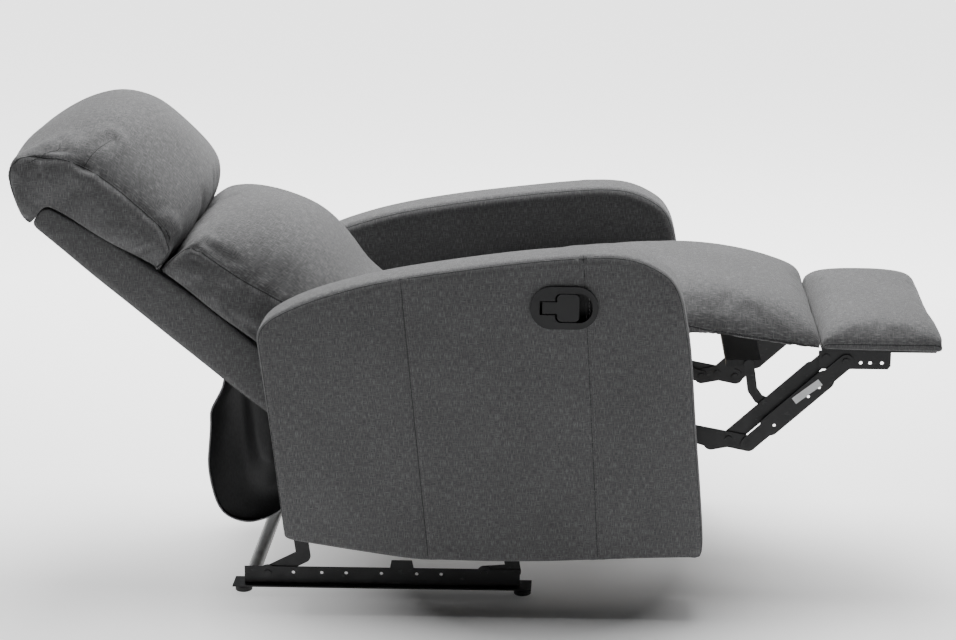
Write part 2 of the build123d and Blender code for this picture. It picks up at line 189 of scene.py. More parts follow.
def make_stage():
    world = bpy.data.worlds.new("studio")
    bpy.context.scene.world = world
    world.use_nodes = True
    nodes = Nodes(world.node_tree)
    place = nodes.add("ShaderNodeTexCoord")
    split = nodes.add("ShaderNodeSeparateXYZ")
    nodes.join(place.outputs["Generated"], split.inputs[0])
    dark, light = SKY_DARK_SIDE, SKY_LIGHT_SIDE
    level = nodes.ramp(split.outputs[0], dark[0], light[0], dark[1], light[1])
    background = world.node_tree.nodes["Background"]
    background.inputs["Color"].default_value = SKY_TINT
    nodes.join(level, background.inputs["Strength"])
    mesh = bpy.data.meshes.new("floor")
    corners = [(a * FLOOR_REACH, b * FLOOR_REACH, 0) for a, b in ((-1, -1), (1, -1), (1, 1), (-1, 1))]
    mesh.from_pydata(corners, [], [(0, 1, 2, 3)])
    floor = bpy.data.objects.new("floor", mesh)
    bpy.context.scene.collection.objects.link(floor)
    paper, nodes, shader = new_material("studio_paper")
    shader.inputs["Base Color"].default_value = (FLOOR_TONE, FLOOR_TONE, FLOOR_TONE, 1)
    shader.inputs["Roughness"].default_value = 0.9
    shader.inputs["Specular IOR Level"].default_value = 0.1
    shader.inputs["Emission Color"].default_value = (1, 1, 1, 1)
    place = nodes.add("ShaderNodeTexCoord")
    split = nodes.add("ShaderNodeSeparateXYZ")
    nodes.join(place.outputs["Object"], split.inputs[0])
    glow = nodes.ramp(split.outputs[0], GLOW_NEAR, GLOW_FAR, 0.0, GLOW_AMOUNT)
    centred = nodes.add("ShaderNodeVectorMath", operation="ADD")
    centred.inputs[1].default_value = (0.0, RING_SHIFT, 0.0)
    nodes.join(place.outputs["Object"], centred.inputs[0])
    squeezed = nodes.stretched(centred.outputs[0], (RING_SQUEEZE, 1, 1))
    length = nodes.add("ShaderNodeVectorMath", operation="LENGTH")
    nodes.join(squeezed, length.inputs[0])
    ring = nodes.ramp(length.outputs["Value"], RING_NEAR, RING_FAR, 0.0, RING_AMOUNT)
    seen = nodes.ramp(split.outputs[0], NEAR_EDGE - NEAR_FADE, NEAR_EDGE, 0.0, 1.0)
    ring = nodes.math("MULTIPLY", ring, seen)
    nodes.join(nodes.math("ADD", glow, ring), shader.inputs["Emission Strength"])
    floor.data.materials.append(paper)
    area_light("overhead", KEY_AT, KEY_AIM, KEY_SIZE, KEY_POWER)


# ---------------------------------------------------------------- materials
FABRIC_DARK, FABRIC_MID, FABRIC_LIGHT = 0.106, 0.152, 0.245
SLUB_ACROSS, SLUB_ALONG = 840, 85
THREAD_PITCH = 0.0011


def fabric_material(name, tint=1.0):
    """Heathered flat weave, on the cloth's own coordinates in metres."""
    material, nodes, shader = new_material(name)
    cloth = nodes.add("ShaderNodeUVMap", uv_map="cloth").outputs[0]
    warp = nodes.noise(nodes.stretched(cloth, (SLUB_ACROSS, SLUB_ALONG, 1)), 1.0, 2.0, 0.6)
    weft = nodes.noise(nodes.stretched(cloth, (SLUB_ALONG, SLUB_ACROSS, 1)), 1.0, 2.0, 0.6)
    broad = nodes.noise(nodes.stretched(cloth, (9, 9, 1)), 1.0, 2.0)
    threads = nodes.math("MAXIMUM", warp, nodes.math("SUBTRACT", weft, 0.03))
    mixed = nodes.math("ADD", nodes.math("MULTIPLY", threads, 0.92), nodes.math("MULTIPLY", broad, 0.08))
    tones = [
        (place, (tone * tint, tone * tint, tone * tint * 1.01))
        for place, tone in ((0.44, FABRIC_DARK), (0.55, FABRIC_MID), (0.68, FABRIC_LIGHT))
    ]
    nodes.join(nodes.colour(mixed, tones), shader.inputs["Base Color"])
    split = nodes.add("ShaderNodeSeparateXYZ")
    nodes.join(cloth, split.inputs[0])
    thread = 2 * math.pi / THREAD_PITCH
    across = nodes.math("SINE", nodes.math("MULTIPLY", split.outputs[0], thread))
    along = nodes.math("SINE", nodes.math("MULTIPLY", split.outputs[1], thread))
    weave = nodes.math("MULTIPLY", across, along)
    height = nodes.math("ADD", nodes.math("MULTIPLY", weave, 0.4), mixed)
    nodes.join(nodes.bump(height, 0.4, 0.0004), shader.inputs["Normal"])
    shader.inputs["Roughness"].default_value = 0.95
    shader.inputs["Specular IOR Level"].default_value = 0.12
    shader.inputs["Sheen Weight"].default_value = 0.12
    shader.inputs["Sheen Roughness"].default_value = 0.5
    return material


def solid_material(name, tone, roughness, metallic=0.0, grain=(60, 60, 60), contrast=0.2, bumps=0.0002,
                   bump_scale=900.0):
    """Finish with a mottled tone, uneven gloss and a fine surface texture."""
    material, nodes, shader = new_material(name)
    place = nodes.add("ShaderNodeTexCoord").outputs["Object"]
    mottle = nodes.noise(nodes.stretched(place, grain), 1.0, 4.0, 0.6)
    fine = nodes.noise(place, bump_scale, 2.0)
    dark = tuple(v * (1 - contrast) for v in tone)
    light = tuple(v * (1 + contrast) for v in tone)
    nodes.join(nodes.colour(mottle, [(0.3, dark), (0.7, light)]), shader.inputs["Base Color"])
    nodes.join(nodes.ramp(mottle, 0.3, 0.7, roughness * 0.85, min(1.0, roughness * 1.2)), shader.inputs["Roughness"])
    nodes.join(nodes.bump(fine, 0.5, bumps), shader.inputs["Normal"])
    shader.inputs["Metallic"].default_value = metallic
    return material


def worn_paint():
    """Satin black paint with small rubbed and dusty places."""
    material, nodes, shader = new_material("black_steel")
    place = nodes.add("ShaderNodeTexCoord").outputs["Object"]
    blotch = nodes.noise(place, 35.0, 5.0, 0.65)
    scuff = nodes.noise(nodes.stretched(place, (260, 60, 260)), 1.0, 4.0, 0.7)
    wear = nodes.ramp(nodes.math("MULTIPLY", blotch, scuff), 0.33, 0.42, 0.0, 1.0)
    tone = nodes.colour(wear, [(0.0, (0.013, 0.013, 0.014)), (1.0, (0.05, 0.05, 0.052))])
    nodes.join(tone, shader.inputs["Base Color"])
    nodes.join(nodes.ramp(blotch, 0.3, 0.7, 0.36, 0.58), shader.inputs["Roughness"])
    nodes.join(nodes.bump(nodes.noise(place, 700.0, 2.0), 0.25, 0.0002), shader.inputs["Normal"])
    return material


def cloth_lining(name, tone):
    """Pressed non-woven lining: short fibres in every direction."""
    material, nodes, shader = new_material(name)
    place = nodes.add("ShaderNodeTexCoord").outputs["Object"]
    fibres = nodes.noise(nodes.stretched(place, (500, 500, 120)), 1.0, 3.0, 0.7)
    dark, light = tuple(v * 0.6 for v in tone), tuple(v * 1.5 for v in tone)
    nodes.join(nodes.colour(fibres, [(0.35, dark), (0.65, light)]), shader.inputs["Base Color"])
    nodes.join(nodes.bump(fibres, 0.5, 0.0006), shader.inputs["Normal"])
    shader.inputs["Roughness"].default_value = 0.6
    return material


def make_materials():
    return {
        "grey_fabric": fabric_material("grey_fabric"),
        "seam_shadow": solid_material("seam_shadow", (0.04, 0.04, 0.041), 0.95),
        "thread": solid_material("thread", (0.20, 0.20, 0.205), 0.7),
        "hem": fabric_material("hem", 0.8),
        "black_cloth": cloth_lining("black_cloth", (0.012, 0.012, 0.013)),
        "wood": solid_material("wood", (0.50, 0.37, 0.23), 0.65, 0.0, (14, 90, 240), 0.25, 0.0003, 400.0),
        "bare_steel": solid_material("bare_steel", (0.36, 0.36, 0.35), 0.42, 1.0, (30, 30, 30), 0.3, 0.0002),
        "spring_steel": solid_material("spring_steel", (0.24, 0.24, 0.25), 0.4, 1.0),
        "black_plastic": solid_material(
            "black_plastic", (0.022, 0.022, 0.023), 0.42, 0.0, (20, 20, 20), 0.08, 0.0003, 1500.0
        ),
        "glide_plastic": solid_material("glide_plastic", (0.012, 0.012, 0.012), 0.5),
        "pin_steel": solid_material("pin_steel", (0.5, 0.5, 0.5), 0.35, 1.0),
        "black_steel": worn_paint(),
        "blank_label": solid_material("blank_label", (0.80, 0.81, 0.82), 0.45, 0.0, (40, 40, 40), 0.06),
    }


def finish_nodes(materials):
    for row in frame["record"]["subparts"]:
        node = bpy.data.objects[row["node"]]
        node.data.materials.clear()
        node.data.materials.append(materials[row["material_slot"]])


# ---------------------------------------------------------------- meshes
BACK_HINGE = (-285.0, 400.0)
BACK_RISE = math.radians(39.77)
BACK_HALF = 0.235
SWEEP = 172.0


def back_point(along, out):
    """(forward, up) of a place along the back and out from its hinge."""
    c, s = math.cos(BACK_RISE), math.sin(BACK_RISE)
    return (BACK_HINGE[0] - along * c + out * s, BACK_HINGE[1] + along * s + out * c)


def back_points(places):
    return [back_point(a, o) for a, o in places]


def around_hinge(radius, angle):
    turn = math.radians(angle)
    return (BACK_HINGE[0] + radius * math.cos(turn), BACK_HINGE[1] + radius * math.sin(turn))


def spot(x, forward, up):
    """The point in metres of a place in millimetres."""
    return Vector((x / 1000.0, -forward / 1000.0 - FORWARD_SHIFT, up / 1000.0))


def rounded(points, rounds=3):
    """An open chain in metres with its inner corners cut round; its ends stay."""
    chain = np.array(points, float) / 1000.0
    for _ in range(rounds):
        near, far = chain[:-1], chain[1:]
        cut = np.stack([0.75 * near + 0.25 * far, 0.25 * near + 0.75 * far], axis=1).reshape(-1, 2)
        chain = np.vstack([chain[:1], cut[1:-1], chain[-1:]])
    return chain


def arc_lengths(chain):
    steps = np.linalg.norm(np.diff(chain, axis=0), axis=1)
    return np.concatenate([[0.0], np.cumsum(steps)])


def spread(chain, lengths, count):
    """The chain's points at evenly spaced values of the given running length."""
    wanted = np.linspace(0.0, lengths[-1], count)
    return np.stack([np.interp(wanted, lengths, chain[:, k]) for k in (0, 1)], axis=1)


def in_frame(x, forward, up):
    return np.stack([x, -forward - FORWARD_SHIFT, up], axis=-1)


class Patches:
    """Collects grids of points, each with its own cloth coordinates, into one welded mesh."""

    def __init__(self):
        self.points, self.faces, self.uvs, self.kinds = [], [], [], []

    def add(self, grid, uv, kind):
        rows, columns = grid.shape[:2]
        offset = len(self.points)
        self.points += [tuple(p) for p in grid.reshape(-1, 3)]
        flat_uv = uv.reshape(-1, 2)
        for r in range(rows - 1):
            for c in range(columns - 1):
                a = offset + r * columns + c
                face = (a, a + 1, a + columns + 1, a + columns)
                self.faces.append(face)
                self.uvs += [tuple(flat_uv[i - offset]) for i in face]
                self.kinds.append(kind)

    def mesh(self, name, weld=0.0003):
        mesh = bpy.data.meshes.new(name)
        mesh.from_pydata(self.points, [], self.faces)
        layer = mesh.uv_layers.new(name="cloth")
        layer.data.foreach_set("uv", np.array(self.uvs, np.float32).ravel())
        kind = mesh.attributes.new("panel", "INT", "FACE")
        kind.data.foreach_set("value", np.array(self.kinds, np.int32))
        work = bmesh.new()
        work.from_mesh(mesh)
        bmesh.ops.remove_doubles(work, verts=work.verts, dist=weld)
        bmesh.ops.dissolve_degenerate(work, dist=1e-5, edges=work.edges)
        bmesh.ops.recalc_face_normals(work, faces=work.faces)
        work.to_mesh(mesh)
        work.free()
        return mesh


CROWN, BASE, SIDE_LOW, SIDE_HIGH = 0, 1, 2, 3


def stuffed_mesh(name, base, crown_side, crown_middle, centre, half, power, fall, swell, cell=0.0095,
                 crowding=1.25):
    """A crown over a base, with a boxing panel at each side.

    The three chains of (forward, up) share their ends. power and fall shape the dome across,
    and swell is how far each side panel bulges. Returns the mesh and the even side chain.
    """
    side, middle = rounded(crown_side), rounded(crown_middle)
    mixed = 0.5 * (arc_lengths(side) + arc_lengths(middle))
    count = max(8, int(mixed[-1] / cell))
    side, middle = spread(side, mixed, count), spread(middle, mixed, count)
    around = np.linspace(0, mixed[-1], count)
    ground = rounded(base)
    ground = spread(ground, arc_lengths(ground), count)
    stations = max(9, int(2 * half / cell))
    turn = np.linspace(-1, 1, stations)
    xs = half * np.sign(turn) * (1 - (1 - np.abs(turn)) ** crowding)
    share = (1 - np.abs(xs / half) ** power) ** fall
    across = np.repeat(xs[:, None], count, axis=1) + centre
    crown_2d = side[None] + share[:, None, None] * (middle - side)[None]
    patches = Patches()
    cloth = np.stack([across, np.repeat(around[None], stations, axis=0)], axis=-1)
    patches.add(in_frame(across, crown_2d[..., 0], crown_2d[..., 1]), cloth, CROWN)
    floor_2d = np.repeat(ground[None], stations, axis=0)
    patches.add(in_frame(across, floor_2d[..., 0], floor_2d[..., 1]), cloth, BASE)
    height = np.linalg.norm(side - ground, axis=1)
    rows = max(4, int(height.max() / cell))
    t = np.linspace(0, 1, rows)[:, None]
    flat = ground[None] + t[..., None] * (side - ground)[None]
    arch = (4 * t * (1 - t)) ** 0.6 * np.minimum(1, height / 0.06)[None]
    for sign, kind, amount in ((-1, SIDE_LOW, swell[0]), (1, SIDE_HIGH, swell[1])):
        x = centre + sign * (half + amount * arch)
        patches.add(in_frame(x, flat[..., 0], flat[..., 1]), flat, kind)
    return patches.mesh(name), side


def link(name, mesh):
    piece = bpy.data.objects.new(name, mesh)
    bpy.context.scene.collection.objects.link(piece)
    return piece


def coordinates(mesh):
    flat = np.zeros(len(mesh.vertices) * 3)
    mesh.vertices.foreach_get("co", flat)
    return flat.reshape(-1, 3)


def normals(mesh):
    flat = np.zeros(len(mesh.vertices) * 3)
    mesh.vertices.foreach_get("normal", flat)
    return flat.reshape(-1, 3)


def set_coordinates(mesh, points):
    mesh.vertices.foreach_set("co", np.asarray(points, np.float32).ravel())
    mesh.update()


def touches(mesh, kinds):
    """For each vertex, whether it touches a face of one of those panels."""
    found = np.zeros(len(mesh.vertices), bool)
    values = np.zeros(len(mesh.polygons), np.int32)
    mesh.attributes["panel"].data.foreach_get("value", values)
    for polygon, value in zip(mesh.polygons, values):
        if value in kinds:
            found[list(polygon.vertices)] = True
    return found


def held_at_seams(mesh):
    """Weight 1 on the base and where the crown meets another panel, 0 elsewhere."""
    base = touches(mesh, (BASE,))
    seams = touches(mesh, (CROWN,)) & touches(mesh, (SIDE_LOW, SIDE_HIGH))
    return np.where(seams | base, 1.0, 0.0)


PUFF_PRESSURE, PUFF_FRAMES = 4.0, 20


def puff(piece, cap, grow):
    """Cloth simulation that fills a piece between its held seams."""
    mesh = piece.data
    start = coordinates(mesh)
    held = held_at_seams(mesh)
    group = piece.vertex_groups.new(name="held")
    group.add([int(i) for i in np.nonzero(held > 0)[0]], 1.0, "REPLACE")
    modifier = piece.modifiers.new("fill", "CLOTH")
    settings = modifier.settings
    settings.quality = 3
    settings.mass = 0.3
    settings.tension_stiffness = 18
    settings.compression_stiffness = 18
    settings.shear_stiffness = 6
    settings.bending_stiffness = 0.5
    settings.use_pressure = True
    settings.uniform_pressure_force = PUFF_PRESSURE
    settings.shrink_min = -grow
    settings.vertex_group_mass = "held"
    settings.effector_weights.gravity = 0
    modifier.collision_settings.use_collision = False
    modifier.point_cache.frame_start = 1
    modifier.point_cache.frame_end = PUFF_FRAMES
    scene = bpy.context.scene
    for number in range(1, PUFF_FRAMES + 1):
        scene.frame_set(number)
    evaluated = piece.evaluated_get(bpy.context.evaluated_depsgraph_get())
    moved = coordinates(evaluated.data)
    piece.modifiers.remove(modifier)
    piece.vertex_groups.clear()
    scene.frame_set(1)
    step = moved - start
    size = np.linalg.norm(step, axis=1)
    kept = cap * np.tanh(size / cap) / np.maximum(size, 1e-9)
    set_coordinates(mesh, start + step * kept[:, None])


def subdivide(piece):
    modifier = piece.modifiers.new("finer", "SUBSURF")
    modifier.levels = 1
    modifier.render_levels = 1
    evaluated = piece.evaluated_get(bpy.context.evaluated_depsgraph_get())
    fine = bpy.data.meshes.new_from_object(evaluated)
    piece.modifiers.remove(modifier)
    old = piece.data
    piece.data = fine
    bpy.data.meshes.remove(old)
    fine.polygons.foreach_set("use_smooth", np.ones(len(fine.polygons), bool))
    fine.update()


def dense(points, step=0.002):
    """A line of 3-D points at even spacing."""
    chain = np.array(points, float)
    lengths = arc_lengths(chain)
    wanted = np.arange(0, lengths[-1], step)
    return np.stack([np.interp(wanted, lengths, chain[:, k]) for k in range(3)], axis=1)


def near_line(points, line, reach):
    """Which points lie within reach of the line, and how far from it they are."""
    inside = np.all((points > line.min(axis=0) - reach) & (points < line.max(axis=0) + reach), axis=1)
    chosen = np.nonzero(inside)[0]
    tree = KDTree(len(line))
    for k, point in enumerate(line):
        tree.insert(point, k)
    tree.balance()
    return chosen, np.array([tree.find(points[k])[2] for k in chosen])


def groove(piece, line, depth, width, ridge=0.0):
    """Press a line into the surface, with a soft ridge on both sides of it."""
    mesh = piece.data
    points = coordinates(mesh)
    chosen, away = near_line(points, dense(line), 4 * width)
    if not len(chosen):
        return
    dent = -depth * np.exp(-((away / width) ** 2))
    rise = ridge * np.exp(-(((away - 2.2 * width) / width) ** 2))
    points[chosen] += normals(mesh)[chosen] * (dent + rise)[:, None]
    set_coordinates(mesh, points)


def soften(piece, amount, scale, seed):
    """Slow uneven swelling, as a hand-filled cushion has."""
    mesh = piece.data
    points = coordinates(mesh)
    offset = Vector((seed * 3.1, seed * 1.7, seed * 2.3))
    wave = np.array([noise.noise(Vector(p) * scale + offset) for p in points])
    set_coordinates(mesh, points + normals(mesh) * (wave * amount)[:, None])


def laid_on(piece, line, lift):
    """Points of a line moved onto the surface, with the normals there."""
    tree = BVHTree.FromPolygons(
        [v.co for v in piece.data.vertices], [tuple(p.vertices) for p in piece.data.polygons]
    )
    places, facing = [], []
    for point in line:
        hit, normal, _, _ = tree.find_nearest(Vector(point))
        places.append(hit + normal * lift)
        facing.append(normal)
    return places, facing


class Threads:
    """Seam shadows and stitches of one body, gathered into one mesh per finish."""

    def __init__(self):
        self.parts = {"seam_shadow": ([], []), "thread": ([], [])}

    def _ring(self, centre, along, normal, radius, sides):
        side = along.cross(normal).normalized()
        return [
            centre + side * (math.cos(a) * radius) + normal * (math.sin(a) * radius * 0.6)
            for a in (2 * math.pi * k / sides for k in range(sides))
        ]

    def rod(self, kind, places, facing, radius, sides=5):
        points, faces = self.parts[kind]
        start = len(points)
        for k, centre in enumerate(places):
            ahead = places[min(k + 1, len(places) - 1)] - places[max(k - 1, 0)]
            points += self._ring(centre, ahead.normalized(), facing[k], radius, sides)
        for k in range(len(places) - 1):
            for s in range(sides):
                a, b = start + k * sides + s, start + k * sides + (s + 1) % sides
                faces.append((a, b, b + sides, a + sides))

    def seam(self, piece, line, radius=0.0007):
        places, facing = laid_on(piece, dense(line, 0.006), 0.0)
        self.rod("seam_shadow", places, facing, radius)

    def stitches(self, piece, line, pitch=0.0062, length=0.0040, radius=0.00042):
        places, facing = laid_on(piece, dense(line, pitch / 4), 0.0001)
        for k in range(0, len(places) - 4, 4):
            ahead = (places[k + 3] - places[k]).normalized() * length / 2
            middle = places[k + 1]
            self.rod("thread", [middle - ahead, middle + ahead], [facing[k + 1]] * 2, radius, 4)

    def pieces(self, name, materials, place):
        """Link one piece per finish and give each to the function place."""
        for kind, (points, faces) in self.parts.items():
            if faces:
                mesh = bpy.data.meshes.new(f"{name}_{kind}")
                mesh.from_pydata([tuple(p) for p in points], [], faces)
                mesh.materials.append(materials[kind])
                mesh.polygons.foreach_set("use_smooth", np.ones(len(mesh.polygons), bool))
                place(link(f"{name}_{kind}", mesh))


def edge_line(side, x, trim=0.0):
    """The line of a side chain at X in metres, from which the ends can be trimmed."""
    chain = np.array(side)
    if trim:
        lengths = arc_lengths(chain)
        chain = chain[(lengths > trim) & (lengths < lengths[-1] - trim)]
    return in_frame(np.full(len(chain), x), chain[:, 0], chain[:, 1])


def on_body(body):
    return lambda piece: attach(piece, body)


def upholster(piece, material, nodes, place):
    """Give a finished soft piece its material, hide the solids it covers and place it on its body."""
    piece.data.materials.clear()
    piece.data.materials.append(material)
    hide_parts(*nodes)
    place(piece)


# ---------------------------------------------------------------- cushions
STITCH_INSET = 0.006


def pillow(name, chains, half, cap, nodes, place, materials, creases, power, fall, seed,
           swell=(0.008, 0.008), grow=0.035, bumps=0.004, pleat_shade_lines=(), reshape=None):
    """A puffed cushion with its creases and side seams, and painted shade along its pleat lines, placed on its body.
    """
    base, side, middle = chains
    mesh, edge = stuffed_mesh(name, base, side, middle, 0.0, half, power, fall, swell)
    piece = link(name, mesh)
    puff(piece, cap, grow)
    subdivide(piece)
    soften(piece, bumps, 9.0, seed)
    if reshape:
        reshape(piece)
    for line, depth, width, ridge in creases:
        groove(piece, line, depth, width, ridge)
    threads = Threads()
    # Dark seam_shadow rods along the pleat folds are painted shade in the fold lines, not seams.
    for line in pleat_shade_lines:
        threads.seam(piece, line, 0.0006)
    for sign in (-1, 1):
        line = edge_line(edge, sign * half)
        groove(piece, line, 0.0022, 0.0055, 0.0)
        threads.seam(piece, line)
        threads.stitches(piece, edge_line(edge, sign * (half - STITCH_INSET)))
    threads.pieces(name, materials, place)
    upholster(piece, materials["grey_fabric"], nodes, place)


def make_head(materials):
    base = back_points([(316, -24), (415, -41), (524, -59), (531, -66), (533, -80), (534, -104)])
    side = back_points([
        (316, -24), (315, -2), (320, 12), (337, 33), (360, 38), (393, 40), (461, 42), (519, 37), (560, 20),
        (585, 2), (613, -12), (617, -34), (613, -57), (590, -80), (560, -98), (534, -104),
    ])
    middle = back_points([
        (316, -24), (309, 30), (318, 88), (352, 124), (404, 141), (461, 147), (512, 142), (560, 118), (592, 75),
        (618, 24), (630, -26), (628, -62), (611, -88), (590, -99), (560, -104), (534, -104),
    ])
    creases = [
        ([spot(-234, -664, 762), spot(-215, -655, 775), spot(-180, -628, 792)], 0.005, 0.011, 0.003),
        ([spot(-236, -757, 768), spot(-228, -735, 776), spot(-212, -706, 778)], 0.004, 0.012, 0.003),
        ([spot(-212, -706, 778), spot(-200, -708, 797)], 0.003, 0.010, 0.002),
        ([spot(-215, -650, 778), spot(-180, -610, 800)], -0.003, 0.014, 0.0),
        ([spot(-236, -520, 636), spot(-222, -532, 655)], 0.004, 0.009, 0.003),
        ([spot(236, -662, 763), spot(205, -645, 780)], 0.006, 0.010, 0.003),
        ([spot(236, -757, 768), spot(215, -725, 785)], 0.005, 0.010, 0.003),
    ]
    # Fold lines of the pleats, where dark rods stand in for the shade in the folds.
    pleat_shade_lines = [creases[0][0], creases[1][0] + [spot(-206, -708, 796)], creases[4][0]]
    pillow(
        "head_pillow", (base, side, middle), BACK_HALF, 0.006, ["head_cushion"], on_body("back"), materials,
        creases, 2.1, 0.8, 1.0, pleat_shade_lines=pleat_shade_lines,
    )


TAIL_START, TAIL_FULL, TAIL_SHARE = 15.0, -45.0, 0.925


def narrow_tail(piece):
    """The foot of the lumbar pillow passes between the seat rails, so it is narrower there."""
    points = coordinates(piece.data)
    ahead = (-points[:, 1] - FORWARD_SHIFT) * 1000 - BACK_HINGE[0]
    above = points[:, 2] * 1000 - BACK_HINGE[1]
    along = above * math.sin(BACK_RISE) - ahead * math.cos(BACK_RISE)
    share = np.clip((TAIL_START - along) / (TAIL_START - TAIL_FULL), 0, 1)
    points[:, 0] *= 1 - share * (1 - TAIL_SHARE)
    set_coordinates(piece.data, points)


def make_lumbar(materials):
    tail = around_hinge(SWEEP, 14)
    base = back_points([(312, -22), (108, -16), (45, -12)]) + [tail]
    side = back_points([
        (312, -22), (309, 22), (302, 40), (285, 49), (242, 51), (200, 55), (168, 61), (111, 72), (54, 84),
        (10, 94), (-40, 102),
    ]) + [tail]
    middle = back_points([
        (312, -22), (313, 48), (305, 84), (282, 117), (240, 147), (190, 167), (140, 177), (92, 171),
    ]) + [around_hinge(148, 60), around_hinge(145, 45), around_hinge(152, 30), tail]
    creases = [
        ([spot(-236, -475, 624), spot(-230, -468, 643), spot(-212, -452, 660)], 0.004, 0.005, 0.002),
        ([spot(236, -475, 624), spot(215, -455, 655)], 0.004, 0.005, 0.002),
    ]
    pillow(
        "lumbar_pillow", (base, side, middle), BACK_HALF, 0.007, ["lumbar_cushion"], on_body("back"), materials,
        creases, 2.2, 0.72, 2.0, bumps=0.003, reshape=narrow_tail,
    )


def with_leg(piece):
    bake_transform(piece)


def make_seat(materials):
    base = [
        (-106, 408), (60, 420), (318, 436), (350, 478), (372, 489), (437, 480), (500, 471), (552, 463), (587, 459),
    ]
    side = [
        (-106, 408), (-112, 420), (-120, 446), (-124, 468), (-60, 484), (0, 496), (100, 508), (200, 515),
        (290, 512), (345, 502), (372, 494), (416, 487), (484, 478), (552, 467), (578, 462), (587, 461), (587, 459),
    ]
    middle = [
        (-106, 408), (-114, 425), (-122, 452), (-118, 480), (-60, 496), (0, 512), (100, 530), (200, 545),
        (290, 553), (345, 557), (380, 557), (431, 553), (486, 543), (541, 524), (576, 507), (591, 484), (587, 459),
    ]
    gathers = ((378, 493, 228), (388, 492, 233), (397, 490, 230), (409, 489, 234), (421, 487, 232))
    creases = []
    for sign in (-1, 1):
        for f, z, reach in gathers:
            line = [spot(sign * 241, f, z), spot(sign * 238, f + 3, z + 10), spot(sign * reach, f + 6, z + 19)]
            creases.append((line, 0.0018, 0.0035, 0.001))
    pillow(
        "seat_cover", (base, side, middle), 0.241, 0.005, ["seat_cushion", "leg_pad"], with_leg, materials,
        creases, 4.5, 0.5, 3.0, swell=(0.001, 0.001), bumps=0.0025, grow=0.02,
    )


def make_footrest(materials):
    base = [(590, 457), (700, 455), (794, 453)]
    side = [
        (590, 457), (589, 461), (592, 465), (611, 466), (670, 466), (740, 466), (776, 466), (792, 465),
        (796, 460), (794, 453),
    ]
    middle = [
        (590, 457), (588, 470), (592, 487), (613, 500), (670, 505), (740, 503), (776, 497), (794, 484),
        (799, 467), (794, 453),
    ]
    creases = [
        ([spot(-233, 797, 466), spot(0, 800, 466), spot(233, 797, 466)], 0.003, 0.0035, 0.001),
    ]
    pillow(
        "footrest_cover", (base, side, middle), 0.237, 0.005, ["footrest_pad"], on_body("footrest"), materials,
        creases, 5.0, 0.45, 4.0, swell=(0.002, 0.002), bumps=0.002, grow=0.02,
    )


# ---------------------------------------------------------------- back and arms
def make_back(materials):
    base = back_points([
        (-20, -80), (-19, -98), (-8, -104), (250, -106), (522, -105), (530, -103), (533, -98), (533, -80),
    ])
    side = back_points([
        (-20, -80), (-18, -62), (4, -36), (40, -24), (108, -19), (313, -25), (520, -58), (531, -64), (533, -80),
    ])
    half = BACK_HALF - 0.001
    mesh, _ = stuffed_mesh("back_cover", base, side, side, 0.0, half, 2.0, 1.0, (0.002, 0.002), cell=0.010)
    piece = link("back_cover", mesh)
    subdivide(piece)
    soften(piece, 0.0018, 7.0, 5.0)
    threads = Threads()
    rear = rounded(base)
    for sign in (-1, 1):
        line = edge_line(rear, sign * half)
        groove(piece, line, 0.0015, 0.005)
        threads.seam(piece, line)
    threads.pieces("back_cover", materials, on_body("back"))
    upholster(piece, materials["grey_fabric"], ["back_frame"], on_body("back"))


ARM_SIDE = [
    (-324, 153), (-336, 260), (-352, 395), (-362, 478), (-364, 499), (-345, 522), (-308, 541), (-272, 556),
    (-235, 568), (-199, 579), (-163, 588), (-123, 596), (-54, 607), (18, 617), (79, 625), (145, 632),
    (211, 637), (251, 635), (273, 630), (294, 622), (318, 609), (331, 598), (342, 579), (348, 561), (353, 533),
    (362, 479), (371, 370), (382, 235), (390, 135), (387, 115),
]
ARM_MIDDLE = [
    (-324, 153), (-339, 260), (-358, 395), (-371, 478), (-374, 494), (-354, 524), (-314, 553), (-276, 572),
    (-239, 584), (-203, 593), (-166, 600), (-125, 608), (-57, 619), (17, 630), (77, 638), (144, 645),
    (211, 649), (255, 646), (280, 639), (303, 627), (327, 607), (341, 588), (351, 570), (358, 548), (363, 522),
    (371, 474), (379, 369), (388, 235), (393, 135), (387, 115),
]
CREST_SHARE = 0.35
ARM_BOTTOM = [(-324, 153), (-320, 137), (-286, 132), (-192, 115), (-113, 103), (-74, 101), (87, 100), (217, 106),
              (387, 115)]
OUTER_SEAMS = (((-121, 588), (-99, 348), (-77, 108)), ((183, 640), (198, 376), (212, 112)))
ARM_HALF, ARM_OUTER = 0.044, 0.335
HANDLE_AT = (152.0, 549.0)
HOLE_HALF, HOLE_RADIUS, HOLE_DEPTH_X = 0.0205, 0.0345, -0.325


def open_for_handle(piece):
    """Cut the arm's cover away inside the bezel's face plate, leaving its edge hidden behind it."""
    work = bmesh.new()
    work.from_mesh(piece.data)
    doomed = []
    for face in work.faces:
        middle = face.calc_center_median()
        forward, up = -middle.y - FORWARD_SHIFT - HANDLE_AT[0] / 1000, middle.z - HANDLE_AT[1] / 1000
        reach = max(0.0, abs(forward) - HOLE_HALF)
        if middle.x < HOLE_DEPTH_X and math.hypot(reach, up) < HOLE_RADIUS:
            doomed.append(face)
    bmesh.ops.delete(work, geom=doomed, context="FACES")
    work.to_mesh(piece.data)
    work.free()


